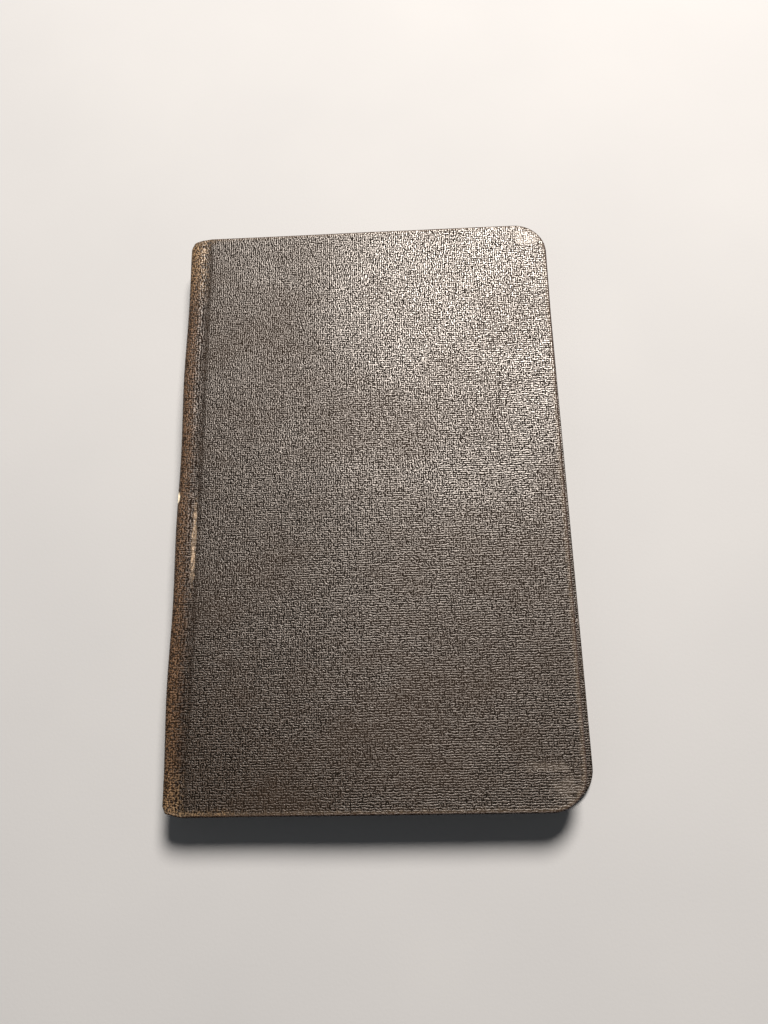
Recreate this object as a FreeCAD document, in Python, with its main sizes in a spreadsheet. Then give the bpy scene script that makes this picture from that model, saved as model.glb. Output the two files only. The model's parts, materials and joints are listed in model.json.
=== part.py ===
import FreeCAD, Part
import os
import re

import Sketcher

# A small cloth-bound prayer book lying closed on its back cover.
#
# Frame: X runs from the spine (-X) to the fore edge (+X), Y from the tail to the head (+Y) and
# Z up through the thickness. The origin is the middle of the back cover's outer face.
#
# The book is a stack that is the same seen from its front and from its back, so most places in Z
# are given as a depth under the outer face of the cover on that side. All lengths are in mm.

DRIVING_SIZES = [
    ("cover_height", 160, "head to tail, over the cloth"),
    ("cover_width", 103, "spine to fore edge, over the cloth"),
    ("book_thickness", 11, "closed, over both covers"),
    ("cover_corner_radius", 9, "the covers' two rounded fore-edge corners"),
    ("cloth_thickness", 0.3, "covering cloth"),
    ("board_thickness", 1.1, "cover boards"),
    ("turn_in_width", 15, "cloth turned over the inside of each board"),
    ("paper_thickness", 0.12, "endpapers: the flyleaf and the fold it hangs from"),
    ("pastedown_thickness", 0.1, "endpaper glued inside each cover"),
    ("fit_gap", 0.02, "air left between neighbouring pieces"),
    ("cover_overhang", 2.5, "how far a cover stands past the leaves, on three sides"),
    ("leaf_corner_radius", 7, "the leaves' two rounded fore-edge corners"),
    ("section_count", 12, "folded sections in the book block"),
    ("ridge_width", 4.6, "the rounded ridge of the spine, seen from above"),
    ("ridge_drop", 0.05, "the ridge's top under the cover's outer face"),
    ("ridge_radius", 1.8, "the ridge's rounded outer shoulder"),
    ("joint_width", 1.6, "the groove between the ridge and the board"),
    ("joint_depth", 0.7, "the groove's floor under the cover's outer face"),
    ("spine_room", 1.2, "spine's outer face to the backs of the sections"),
    ("swell_depth", 0.5, "the swollen sections' first fold under the outer face"),
    ("fold_width", 0.6, "the part of a section that is full height at its fold"),
    ("swell_width", 4.4, "the part of a section that is thicker than its leaves"),
    ("tip_width", 3.5, "endpaper strip glued down along the first section's fold"),
    ("lining_thickness", 0.15, "paper that lines the spine"),
    ("mull_thickness", 0.1, "open-weave cloth glued over the spine"),
    ("mull_flange_width", 18, "the mull's flange on each board"),
    ("tape_thickness", 0.2, "sewing tapes"),
    ("tape_width", 8, "sewing tapes"),
    ("tape_pitch", 45, "from one sewing tape to the next"),
    ("lining_top_depth", 1.95, "where the lining and the mull stop short of the ridge"),
    ("thread_radius", 0.14, "sewing thread"),
    ("thread_clearance", 0.02, "round the thread, in the fold"),
    ("thread_half_length", 70, "middle of the book to the last stitch"),
    ("headband_radius", 0.65, "the rolled bands at head and tail"),
]

doc = FreeCAD.newDocument("PrayerBook")
sheet = doc.addObject("Spreadsheet::Sheet", "Sizes")
for row, (alias, size, note) in enumerate(DRIVING_SIZES, start=1):
    sheet.set(f"A{row}", note)
    sheet.set(f"B{row}", str(size))
    sheet.setAlias(f"B{row}", alias)
doc.recompute()

FRONT, BACK = "front", "back"
TINY = 1e-6

# Places across the width (X), written in the sheet's names.
SPINE_X = "(-cover_width / 2)"
FORE_X = "(cover_width / 2)"
LEAF_FORE_X = "(cover_width / 2 - cover_overhang)"
HINGE_X = f"({SPINE_X} + ridge_width + joint_width / 2)"
BOARD_EDGE_X = f"({SPINE_X} + ridge_width + joint_width)"
BOARD_X = f"({BOARD_EDGE_X} + cloth_thickness + fit_gap)"
FOLD_X = f"({SPINE_X} + spine_room)"
FLAT_X = f"({FOLD_X} + swell_width)"
LEAF_HINGE_X = f"({FLAT_X} + tip_width)"

# Half lengths along the height (Y).
COVER_HALF = "(cover_height / 2)"
LEAF_HALF = "(cover_height / 2 - cover_overhang)"
WINDOW_HALF = "(cover_height / 2 - turn_in_width)"

# Depths under a cover's outer face, and the block between the covers.
MIDDLE = "(book_thickness / 2)"
BOARD_DEPTH = "(cloth_thickness + fit_gap)"
BOARD_UNDER = f"({BOARD_DEPTH} + board_thickness)"
CASE_UNDER = f"({BOARD_UNDER} + fit_gap + cloth_thickness)"
PASTEDOWN_DEPTH = f"({CASE_UNDER} + fit_gap)"
COVER_UNDER = f"({PASTEDOWN_DEPTH} + pastedown_thickness)"
FLYLEAF_DEPTH = f"({COVER_UNDER} + fit_gap)"
BLOCK_DEPTH = f"({FLYLEAF_DEPTH} + paper_thickness + fit_gap)"
RIDGE_UNDER = "(ridge_drop + cloth_thickness)"
JOINT_UNDER = "(joint_depth + cloth_thickness)"


def in_sheet(text):
    """The same expression with the sheet's name put before each of its aliases."""
    return re.sub(r"[a-z]\w+", r"Sizes.\g<0>", text)


def value(text):
    """What an expression in the sheet's names comes to, in mm."""
    return float(sheet.evalExpression(in_sheet(text)))


def bind(thing, **sizes):
    """Tie properties of an object to expressions; __ stands for the dot in a property's path."""
    for path, text in sizes.items():
        thing.setExpression(path.replace("__", "."), in_sheet(text))


def low_z(side, depth, thickness):
    """The lower face of a layer that starts at a depth under the cover on one side."""
    if side == FRONT:
        return f"(book_thickness - {depth} - {thickness})"
    return depth


def at_depth(side, depth):
    return f"(book_thickness - {depth})" if side == FRONT else depth


def outline_sketch(body, name, plane_role, corners):
    """A closed polygon on one of the body's origin planes, each corner a pair of expressions."""
    sketch = body.newObject("Sketcher::SketchObject", name)
    planes = body.Origin.OriginFeatures
    sketch.AttachmentSupport = [(next(p for p in planes if p.Role == plane_role), "")]
    sketch.MapMode = "FlatFace"
    points = [FreeCAD.Vector(value(u), value(v), 0) for u, v in corners]
    for start, end in zip(points, points[1:] + points[:1]):
        sketch.addGeometry(Part.LineSegment(start, end), False)
    for line in range(len(points)):
        following = (line + 1) % len(points)
        sketch.addConstraint(Sketcher.Constraint("Coincident", line, 2, following, 1))
    for line, (point, place) in enumerate(zip(points, corners)):
        for kind, size, text in zip(("DistanceX", "DistanceY"), point, place):
            index = sketch.addConstraint(Sketcher.Constraint(kind, -1, 1, line, 1, size))
            sketch.setExpression(f"Constraints[{index}]", in_sheet(text))
    return sketch


def pad_both_ways(body, sketch, length):
    """The outline made solid, half of the length on each side of its plane."""
    pad = body.newObject("PartDesign::Pad", sketch.Name + "Pad")
    pad.Profile = sketch
    pad.SideType = "Symmetric"
    bind(pad, Length=length)
    return pad


def round_edges(body, base, radius, is_chosen):
    """Round the edges of a feature that a test picks out."""
    doc.recompute()
    edges = [f"Edge{n}" for n, edge in enumerate(base.Shape.Edges, 1) if is_chosen(edge)]
    fillet = body.newObject("PartDesign::Fillet", base.Name + "Round")
    fillet.Base = (base, edges)
    bind(fillet, Radius=radius)
    return fillet


def stands_at(edge, x):
    """Is this a straight edge along Z at that X?"""
    span = edge.BoundBox
    return abs(span.XMin - x) < TINY and span.XLength < TINY and span.YLength < TINY


def runs_through(edge, spot):
    """Is this a straight edge along Y through that place in X and Z?"""
    span = edge.BoundBox
    across = FreeCAD.Vector(span.Center.x, 0, span.Center.z)
    return max(span.XLength, span.ZLength, across.distanceToPoint(spot)) < TINY


def plate(label, x_low, x_high, half, z_low, thickness, radius):
    """A flat sheet, square at its spine side, with its two fore-edge corners rounded."""
    body = doc.addObject("PartDesign::Body", label)
    corners = [(x_low, f"-{half}"), (x_high, f"-{half}"), (x_high, half), (x_low, half)]
    sketch = outline_sketch(body, label + "_outline", "XY_Plane", corners)
    bind(sketch, AttachmentOffset__Base__z=z_low)
    pad = body.newObject("PartDesign::Pad", label + "_pad")
    pad.Profile = sketch
    bind(pad, Length=thickness)
    round_edges(body, pad, radius, lambda edge: stands_at(edge, value(x_high)))
    return body


def box(label, x_low, x_high, half, z_low, height):
    """A plain block, centred on the book's middle line from head to tail."""
    block = doc.addObject("Part::Box", label)
    bind(block, Length=f"{x_high} - {x_low}", Width=f"2 * {half}", Height=height)
    bind(block, Placement__Base__x=x_low, Placement__Base__y=f"-{half}")
    bind(block, Placement__Base__z=z_low)
    return block


def fused(label, *pieces):
    union = doc.addObject("Part::MultiFuse", label)
    union.Shapes = list(pieces)
    return union


def cover_cloth(side):
    """Cloth over the outside of a board, round three edges and turned in, with half the joint."""
    name = f"{side}_cover_cloth"
    radius = "cover_corner_radius"
    case = plate(name + "_case", BOARD_EDGE_X, FORE_X, COVER_HALF,
                 low_z(side, "0", CASE_UNDER), CASE_UNDER, radius)
    joint = box(name + "_joint", f"({HINGE_X} + fit_gap / 2)", BOARD_X, COVER_HALF,
                low_z(side, "joint_depth", "cloth_thickness"), "cloth_thickness")
    board_space = "(board_thickness + 2 * fit_gap)"
    cavity = plate(name + "_cavity", f"({BOARD_X} - fit_gap)",
                   f"({FORE_X} - cloth_thickness)", f"({COVER_HALF} - cloth_thickness)",
                   low_z(side, "cloth_thickness", board_space), board_space,
                   f"({radius} - cloth_thickness)")
    window_depth = "(cloth_thickness + board_thickness)"
    window_height = "(2 * cloth_thickness)"
    window = box(name + "_window", f"({BOARD_X} - fit_gap)", f"({FORE_X} - turn_in_width)",
                 WINDOW_HALF, low_z(side, window_depth, window_height), window_height)
    cloth = doc.addObject("Part::Cut", name)
    cloth.Base = fused(name + "_solid", case, joint)
    cloth.Tool = fused(name + "_hollow", cavity, window)
    return cloth


def board(side):
    return plate(f"{side}_board", BOARD_X, f"({FORE_X} - {BOARD_DEPTH})",
                 f"({COVER_HALF} - {BOARD_DEPTH})",
                 low_z(side, BOARD_DEPTH, "board_thickness"), "board_thickness",
                 f"(cover_corner_radius - {BOARD_DEPTH})")


def mull_flange(side):
    """The mull's edge, glued to the board under the pastedown."""
    return box(f"{side}_mull_flange", BOARD_X, f"({BOARD_X} + mull_flange_width)",
               f"({WINDOW_HALF} - 5 * fit_gap)",
               low_z(side, f"({BOARD_UNDER} + fit_gap)", "mull_thickness"), "mull_thickness")


def pastedown(side):
    """Endpaper glued over the turn-ins, sunk between them to lie on the mull's flange."""
    name = f"{side}_pastedown"
    sheet_margin = f"({CASE_UNDER} + fit_gap)"
    over = plate(name + "_over", BOARD_EDGE_X, f"({FORE_X} - {sheet_margin})",
                 f"({COVER_HALF} - {sheet_margin})",
                 low_z(side, PASTEDOWN_DEPTH, "pastedown_thickness"), "pastedown_thickness",
                 "leaf_corner_radius")
    sunk_depth = f"({BOARD_UNDER} + 2 * fit_gap + mull_thickness)"
    sunk_height = f"({COVER_UNDER} - {sunk_depth})"
    sunk = box(name + "_sunk", BOARD_X, f"({FORE_X} - turn_in_width - fit_gap)",
               f"({WINDOW_HALF} - fit_gap)", low_z(side, sunk_depth, sunk_height), sunk_height)
    return fused(name, over, sunk)


def flyleaf(side):
    return plate(f"{side}_flyleaf", LEAF_HINGE_X, LEAF_FORE_X, LEAF_HALF,
                 low_z(side, FLYLEAF_DEPTH, "paper_thickness"), "paper_thickness",
                 "leaf_corner_radius")


def endpaper_fold(side):
    """The strip of the endpaper that is tipped to the first section, beside its fold."""
    return box(f"{side}_endpaper_fold", FLAT_X, f"({LEAF_HINGE_X} - fit_gap)", LEAF_HALF,
               low_z(side, FLYLEAF_DEPTH, "paper_thickness"), "paper_thickness")


def spine_cloth(side):
    """Half of the cloth back: spine, rounded ridge and its half of the joint."""
    name = f"{side}_spine_cloth"
    body = doc.addObject("PartDesign::Body", name)
    half_thickness = f"({MIDDLE} - fit_gap / 2)"
    inner_x = f"({SPINE_X} + cloth_thickness)"
    lip_x = f"({HINGE_X} - fit_gap / 2)"
    ridge_end = f"({SPINE_X} + ridge_width)"
    slope = "(ridge_width / 5)"
    profile = [
        (SPINE_X, half_thickness), (SPINE_X, "ridge_drop"),
        (f"({ridge_end} - {slope})", "ridge_drop"), (ridge_end, "joint_depth"),
        (lip_x, "joint_depth"), (lip_x, JOINT_UNDER),
        (f"({ridge_end} - cloth_thickness / 2)", JOINT_UNDER),
        (f"({ridge_end} - {slope} - cloth_thickness / 2)", RIDGE_UNDER),
        (inner_x, RIDGE_UNDER), (inner_x, half_thickness),
    ]
    corners = [(x, at_depth(side, depth)) for x, depth in profile]
    sketch = outline_sketch(body, name + "_profile", "XZ_Plane", corners)
    pad = pad_both_ways(body, sketch, "cover_height")
    for radius, x, depth in (("ridge_radius", SPINE_X, "ridge_drop"),
                             ("(ridge_radius - cloth_thickness)", inner_x, RIDGE_UNDER)):
        spot = FreeCAD.Vector(value(x), 0, value(at_depth(side, depth)))
        pad = round_edges(body, pad, radius, lambda edge: runs_through(edge, spot))
    return body


def spine_layer(side, part, inset, thickness):
    """A flat layer glued up the inside of one half of the spine."""
    x_low = f"({SPINE_X} + {inset})"
    height = f"({MIDDLE} - fit_gap / 2 - lining_top_depth)"
    return box(f"{side}_{part}", x_low, f"({x_low} + {thickness})", WINDOW_HALF,
               low_z(side, "lining_top_depth", height), height)


def sewing_tapes(side):
    """Three short tapes that the sections are sewn round, as one group of solids."""
    inset = "(cloth_thickness + lining_thickness + mull_thickness + 3 * fit_gap)"
    x_low = f"({SPINE_X} + {inset})"
    height = f"({MIDDLE} - fit_gap / 2 - lining_top_depth)"
    tapes = []
    for step in (-1, 0, 1):
        tape = doc.addObject("Part::Box", f"{side}_tape_{step + 2}")
        bind(tape, Length="tape_thickness", Width="tape_width", Height=height)
        bind(tape, Placement__Base__x=x_low)
        bind(tape, Placement__Base__y=f"{step} * tape_pitch - tape_width / 2")
        bind(tape, Placement__Base__z=low_z(side, "lining_top_depth", height))
        tapes.append(tape)
    group = doc.addObject("Part::Compound", f"{side}_sewing_tapes")
    group.Links = tapes
    return group


def end_band(side, part, towards_head):
    """Half of the rolled band that stands on the sections' ends, against the spine."""
    height = f"({MIDDLE} - fit_gap / 2 - swell_depth)"
    band = doc.addObject("Part::Cylinder", f"{side}_{part}")
    bind(band, Radius="headband_radius", Height=height)
    from_middle = f"({LEAF_HALF} + 2 * fit_gap + headband_radius)"
    bind(band, Placement__Base__x=f"{SPINE_X} + spine_room + headband_radius")
    bind(band, Placement__Base__y=from_middle if towards_head else f"-{from_middle}")
    bind(band, Placement__Base__z=low_z(side, "swell_depth", height))
    return band


def level(first, last, number):
    """A height shared out evenly between the sections, counted from the back cover."""
    return f"({first} + ({last} - {first} + fit_gap) * {number} / section_count)"


def section_levels(number):
    """The lower and upper faces of a section: first at its fold, then over its flat leaves."""
    from_back = int(value("section_count")) - number
    faces = []
    for depth in ("swell_depth", BLOCK_DEPTH):
        first, last = depth, f"(book_thickness - {depth})"
        faces.append(level(first, last, from_back))
        faces.append(f"({level(first, last, from_back + 1)} - fit_gap)")
    return faces


def section(number):
    """A folded section of the book block: thicker along its fold, with a hole for its thread."""
    name = f"section_{number:02d}"
    body = doc.addObject("PartDesign::Body", name + "_folded")
    fold_low, fold_high, leaf_low, leaf_high = section_levels(number)
    swell_start = f"({FOLD_X} + fold_width)"
    corners = [
        (FOLD_X, fold_low), (swell_start, fold_low), (FLAT_X, leaf_low),
        (LEAF_FORE_X, leaf_low), (LEAF_FORE_X, leaf_high), (FLAT_X, leaf_high),
        (swell_start, fold_high), (FOLD_X, fold_high),
    ]
    sketch = outline_sketch(body, name + "_profile", "XZ_Plane", corners)
    pad = pad_both_ways(body, sketch, f"2 * {LEAF_HALF}")
    round_edges(body, pad, "leaf_corner_radius",
                lambda edge: stands_at(edge, value(LEAF_FORE_X)))
    hole = doc.addObject("Part::Cylinder", name + "_thread_hole")
    lay_along_y(hole, number, "(thread_radius + thread_clearance)", COVER_HALF)
    pierced = doc.addObject("Part::Cut", name)
    pierced.Base = body
    pierced.Tool = hole
    return pierced


def lay_along_y(cylinder, number, radius, half_length):
    """Lay a cylinder along the fold of a section."""
    fold_low, fold_high = section_levels(number)[:2]
    bind(cylinder, Radius=radius, Height=f"2 * {half_length}")
    cylinder.Placement.Rotation = FreeCAD.Rotation(FreeCAD.Vector(1, 0, 0), -90)
    bind(cylinder, Placement__Base__x=f"{FOLD_X} + fold_width")
    bind(cylinder, Placement__Base__y=f"-{half_length}")
    bind(cylinder, Placement__Base__z=f"({fold_low} + {fold_high}) / 2")


def sewing_thread(number):
    thread = doc.addObject("Part::Cylinder", f"sewing_thread_{number:02d}")
    lay_along_y(thread, number, "thread_radius", "thread_half_length")
    return thread


def build_pieces():
    """Every piece of the book, each under the name of its node."""
    pieces = []
    for side in (FRONT, BACK):
        pieces += [cover_cloth(side), board(side), mull_flange(side), pastedown(side)]
        pieces += [flyleaf(side), endpaper_fold(side), spine_cloth(side)]
        pieces.append(spine_layer(side, "spine_lining", f"({BOARD_DEPTH})", "lining_thickness"))
        mull_inset = f"({BOARD_DEPTH} + lining_thickness + fit_gap)"
        pieces.append(spine_layer(side, "spine_mull", mull_inset, "mull_thickness"))
        pieces.append(sewing_tapes(side))
        pieces += [end_band(side, "headband", True), end_band(side, "tailband", False)]
    for number in range(1, int(value("section_count")) + 1):
        pieces += [section(number), sewing_thread(number)]
    return pieces


def check(pieces):
    """Stop if any feature failed or any piece is not sound."""
    failed = [thing.Label for thing in doc.Objects
              if {"Invalid", "Error"} & set(thing.State)]
    unsound = [piece.Label for piece in pieces
               if piece.Shape.isNull() or not piece.Shape.isValid() or not piece.Shape.Solids]
    if failed or unsound:
        raise RuntimeError(f"failed features: {failed}; unsound pieces: {unsound}")


book = build_pieces()
doc.recompute()
check(book)
os.makedirs("parts", exist_ok=True)
for piece in book:
    piece.Shape.exportStep(os.path.join("parts", piece.Label + ".step"))
print(len(book), "pieces")
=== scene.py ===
import json
import math
import random

import bpy
import numpy as np
from mathutils import Matrix, Vector


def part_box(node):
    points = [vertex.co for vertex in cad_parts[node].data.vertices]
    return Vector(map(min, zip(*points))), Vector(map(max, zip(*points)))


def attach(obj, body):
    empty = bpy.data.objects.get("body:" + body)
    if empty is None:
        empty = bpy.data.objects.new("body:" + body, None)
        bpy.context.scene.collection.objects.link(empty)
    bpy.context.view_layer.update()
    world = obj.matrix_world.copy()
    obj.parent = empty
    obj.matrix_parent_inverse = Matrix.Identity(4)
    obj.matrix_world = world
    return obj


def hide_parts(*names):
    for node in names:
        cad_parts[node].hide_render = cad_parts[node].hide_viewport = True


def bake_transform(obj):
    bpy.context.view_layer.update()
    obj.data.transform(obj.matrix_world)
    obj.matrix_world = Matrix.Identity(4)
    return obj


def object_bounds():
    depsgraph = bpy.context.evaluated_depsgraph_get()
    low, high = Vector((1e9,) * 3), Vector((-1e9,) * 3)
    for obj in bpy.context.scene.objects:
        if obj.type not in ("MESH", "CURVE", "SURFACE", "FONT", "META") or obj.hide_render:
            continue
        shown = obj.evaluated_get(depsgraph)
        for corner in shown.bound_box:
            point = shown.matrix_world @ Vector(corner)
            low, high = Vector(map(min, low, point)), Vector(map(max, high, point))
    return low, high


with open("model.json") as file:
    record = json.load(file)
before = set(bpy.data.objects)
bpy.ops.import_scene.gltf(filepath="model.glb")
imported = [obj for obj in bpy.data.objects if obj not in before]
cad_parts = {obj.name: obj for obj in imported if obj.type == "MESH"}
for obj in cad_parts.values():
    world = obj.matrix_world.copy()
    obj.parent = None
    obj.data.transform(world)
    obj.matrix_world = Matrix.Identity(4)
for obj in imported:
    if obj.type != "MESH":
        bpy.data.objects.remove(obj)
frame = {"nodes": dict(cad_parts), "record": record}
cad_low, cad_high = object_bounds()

# The looks of a small worn prayer book, built round its CAD model. Lengths are in metres.
#
# A point of a cover or of the block is first given as (x, y, depth), where depth is measured
# inwards from the outer face of the cover on its side, so the front and the back share one
# description. Each mesh keeps where its points lay before they were bent in its "rest"
# attribute, in millimetres, and the materials take their texture from it.

MM = 0.001
FRONT, BACK = "front", "back"
SIDES = (FRONT, BACK)

# Places from the frame.
SPINE_X, FORE_X = cad_low.x, cad_high.x
HALF_HEIGHT = cad_high.y
THICKNESS = cad_high.z
MIDDLE = THICKNESS / 2
BOARD_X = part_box("front_board")[0].x
CASE_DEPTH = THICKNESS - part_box("front_cover_cloth")[0].z
HINGE_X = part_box("front_cover_cloth")[0].x
PASTEDOWN_LOW, PASTEDOWN_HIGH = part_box("front_pastedown")
PASTEDOWN_DEPTH = THICKNESS - PASTEDOWN_LOW.z
FLYLEAF_LOW, FLYLEAF_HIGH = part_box("front_flyleaf")
FLYLEAF_DEPTH = THICKNESS - (FLYLEAF_LOW.z + FLYLEAF_HIGH.z) / 2
STRIP_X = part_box("front_endpaper_fold")[0].x
FLANGE_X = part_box("front_mull_flange")[1].x
FIRST_SECTION_LOW, FIRST_SECTION_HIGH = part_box("section_01")
FOLD_X = FIRST_SECTION_LOW.x
LEAF_FORE_X = FIRST_SECTION_HIGH.x
LEAF_HALF = FIRST_SECTION_HIGH.y

# Driving sizes of the case: its corners, the ridge along the spine, the joint groove beside it,
# and the cloth, which rolls over the boards' edges and is turned in under them. Where no board
# is, at the joint and the spine, it is folded double. JOINT_BEND is half the width that bends,
# and HALF_GAP keeps the halves of the spine's cloth apart in the middle.
COVER_CORNER = 9 * MM
RIDGE_DROP = 0.05 * MM
RIDGE_RADIUS = 1.8 * MM
JOINT_START_X = HINGE_X - 2.3 * MM
JOINT_FLOOR_X = HINGE_X - 0.6 * MM
JOINT_END_X = BOARD_X + 0.4 * MM
JOINT_DEPTH = 0.32 * MM
SPINE_COLUMNS, RIDGE_COLUMNS, JOINT_COLUMNS, FLAT_COLUMNS = 8, 11, 46, 64
COVER_ROWS, CORNER_ROWS = 110, 12
HALF_GAP = 0.02 * MM
CLOTH = 0.26 * MM
EDGE_ROLL = 0.55 * MM
FOLD_ROLL = 0.26 * MM
FOLD_DEPTH = 0.56 * MM
INNER_ROLL = 0.3 * MM
HIDDEN_TURN_IN = 8 * MM
BOARD_INSET = 0.32 * MM

# The endpapers. The pasted one sinks between the turned-in cloth of the other three sides.
PAPER = 0.1 * MM
TURN_IN = 15 * MM
TURN_IN_WANDER = 0.8 * MM
TURN_IN_BLUR = 0.6 * MM
TURN_IN_STEP = 0.2 * MM
PASTE_RIPPLE = 0.02 * MM
FLYLEAF_BOW = 0.03 * MM
JOINT_PAPER_SHORT = 0.8 * MM

# The book block. Each section is folded sheets, swollen by the thread at their folds. The fore
# edge's unevenness is in millimetres, and the height's is a share of it.
SECTIONS = 12
MIDDLE_SECTIONS = (6, 7)
LEAVES_IN_SECTION = 8
LEAF = 0.058 * MM
LEAF_CORNER = 7 * MM
FOLD_GAP = 0.02 * MM
SWELL_START_X = FOLD_X + 0.6 * MM
NEST_STEP_X = 0.1 * MM
NEST_STEP_Z = 0.06 * MM
FOLD_BULGE = 0.25 * MM
UNEVEN_FORE_EDGE = 0.09
UNEVEN_HEIGHT = 0.0007
END_SQUEEZE = 0.06
FLYLEAF_ROOM = 0.08 * MM
MIDDLE_ROOM = 1.2 * LEAF
# Where a leaf's columns stand, from its fold to its fore edge: closest where it bends.
LEAF_STEPS = np.array([0, 0.004, 0.01, 0.018, 0.028, 0.04, 0.055,
                       0.1, 0.2, 0.32, 0.45, 0.58, 0.71, 0.84, 0.94, 1])
# The skin that joins the two middle pages: its thickness, and its level either side.
SKIN = 0.35 * LEAF
SKIN_LEVEL = 0.36 * LEAF
SKIN_INSET = 0.05 * MM
GUTTER_X = SPINE_X + 0.5 * MM

# A head or tail band is a cord wound with thread.
WINDING = 0.26 * MM
BAND_TAPER = 0.5 * MM

# The cover cloth's grain and finish. Textures are placed in millimetres.
RIB_PITCH = 0.60
RIB_LENGTH = 0.62
RIB_WOBBLE = 0.95
RIB_LEAN = 0.0009
RIB_UNEVENNESS = 3.6
WEAVE_HEIGHT = 0.075 * MM
# The weave's hollow colour is near-black painted shade. The top colour is lighter partly because
# the tops are rubbed.
CLOTH_HOLLOW_SHADE = (0.002, 0.0015, 0.001)
CLOTH_TOP = (0.019, 0.0125, 0.008)
CLOTH_DUST = (0.022, 0.015, 0.0105)
CLOTH_SHINE = 0.39
CLOTH_GLOSS = 1.0
CLOTH_RUBBED = (0.13, 0.10, 0.07)
# The rim colour is worn reddish-dark cloth that also paints the shade where the edge turns away
# from the lamp.
CLOTH_RIM_WORN_AND_SHADED = (0.022, 0.012, 0.008)
CLOTH_SMOOTHED = (0.10, 0.085, 0.070)
# The brown hollow colour is near-black painted shade in the faded cloth's crevices.
BROWN_HOLLOW_SHADE = (0.004, 0.0024, 0.0016)
BROWN_TOP = (0.024, 0.0135, 0.0072)
BROWN_OUTSIDE = (0.088, 0.051, 0.027)
BROWN_ENDS = (0.25, 0.17, 0.088)
# A painted highlight colour, for the light line along the ridge's inner slope.
RIDGE_HIGHLIGHT_PAINT = (0.30, 0.23, 0.16)
BARE_PAPER = (0.80, 0.72, 0.55)

# Worn patches of the front cover, and a painted highlight line along the ridge's inner slope, in
# millimetres: x, y, width, height and raggedness.
CORNER_RUB = (46.2, 75.6, 4.0, 2.8, 2.0)
SCUFFS = ((42.0, -69.5, 6.5, 1.3, 1.2), (46.5, -74.5, 3.6, 3.2, 1.2))
RIDGE_HIGHLIGHT_LINE = (-46.3, -12.5, 0.75, 12.5, 0.7)
NICK = (-51.4, 0.9, 0.8, 1.7, 0.35)
CREASE_Y = -62.3

# The heights between which the front cover's wear and its painted ridge highlight fade in, and
# the way out over the ridge.
FRONT_LEVELS = (8.0, 9.0)
RIDGE_OUTSIDE = (-45.8, -49.0)

# How the years have moved things, and how far rubbing and the painted edge shade, fading and
# browning reach.
COVER_BOW = 0.16 * MM
BACK_BOW_SHARE = 0.15
ASKEW_SHIFT = 1.4 * MM
ASKEW_TURN = math.radians(0.62)
SPINE_WANDER = 0.22 * MM
SPINE_REACH = 6 * MM
END_REACH = 8 * MM
CORNER_REACH = 2 * MM
CORNER_SAG = 0.9 * MM
CORNER_DROP = 0.25 * MM
CORNER_WEAR = 0.6 * MM
EDGE_WEAR_AND_SHADE_WIDTH = 1.3 * MM
TAIL_FADE = 24 * MM
HEAD_FADE = 15 * MM
EDGE_BROWNING = 5 * MM

# The studio.
CAMERA_PLACE = Vector((0.0138, -0.0653, 0.2201))
CAMERA_AIM = Vector((0.0040, -0.0050, THICKNESS))
CAMERA_ROLL = math.radians(-10.55)
CAMERA_LENS = 29.18
FLOOR_HALF = 6.0
FLOOR_CLEARANCE = 0.12 * MM


def smooth(value, low, high):
    """0 below low, 1 above high and an even S between them."""
    share = np.clip((value - low) / (high - low), 0, 1)
    return share * share * (3 - 2 * share)


def waves(x, y, length, seed):
    """A smooth uneven field, from about -1 to 1, whose swells are about that long."""
    pick = random.Random(seed)
    total = np.zeros(np.broadcast(x, y).shape)
    for _ in range(6):
        heading = pick.uniform(0, math.tau)
        pace = pick.uniform(0.7, 1.4) * math.tau / length
        along = x * math.cos(heading) + y * math.sin(heading)
        total = total + np.sin(pace * along + pick.uniform(0, math.tau))
    return total / 3


# ---------------------------------------------------------------- meshes


def to_frame(side, points):
    """From (x, y, depth) to the CAD model's frame."""
    placed = np.array(points, float)
    if side == FRONT:
        placed[..., 2] = THICKNESS - placed[..., 2]
    return placed


def inside_outline(x, y):
    """How far inside the covers' outline a point is, not counting the spine's side."""
    across = x - (FORE_X - COVER_CORNER)
    along = np.abs(y) - (HALF_HEIGHT - COVER_CORNER)
    past = np.hypot(np.maximum(across, 0), np.maximum(along, 0))
    return COVER_CORNER - past - np.minimum(np.maximum(across, along), 0)


def settle(side, points, gives=(HINGE_X - 0.5 * MM, BOARD_X + 0.3 * MM)):
    """Where wear has moved a point of a cover or of the spine cloth. The piece stretches
    between the two places in gives, from the block's side to the shifted cover's."""
    x, y, depth = np.moveaxis(np.array(points, float), -1, 0)
    on_board = smooth(x, *gives)
    near_spine = 1 - smooth(x, SPINE_X, SPINE_X + SPINE_REACH)
    near_end = smooth(np.abs(y), HALF_HEIGHT - END_REACH, HALF_HEIGHT)
    bow = COVER_BOW * (0.9 + waves(x, y, 95 * MM, 3) + 0.25 * waves(x, y, 30 * MM, 4))
    if side == BACK:
        bow = bow * BACK_BOW_SHARE
        turned_x = ASKEW_SHIFT + ASKEW_TURN * (HALF_HEIGHT - y)
        turned_y = ASKEW_TURN * (x - BOARD_X)
        x, y = x + on_board * turned_x, y + on_board * turned_y
    bow = bow * smooth(x, FLANGE_X, FLANGE_X + 18 * MM)
    x = x + near_spine * SPINE_WANDER * waves(y, 0 * y, 46 * MM, 5)
    at_corner = near_spine * smooth(np.abs(y), HALF_HEIGHT - CORNER_REACH, HALF_HEIGHT)
    x = x + at_corner * CORNER_WEAR
    y = y - np.sign(y) * near_spine * near_end * CORNER_SAG
    depth = depth - bow + near_spine * near_end * CORNER_DROP
    return np.stack([x, y, depth], axis=-1)


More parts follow.
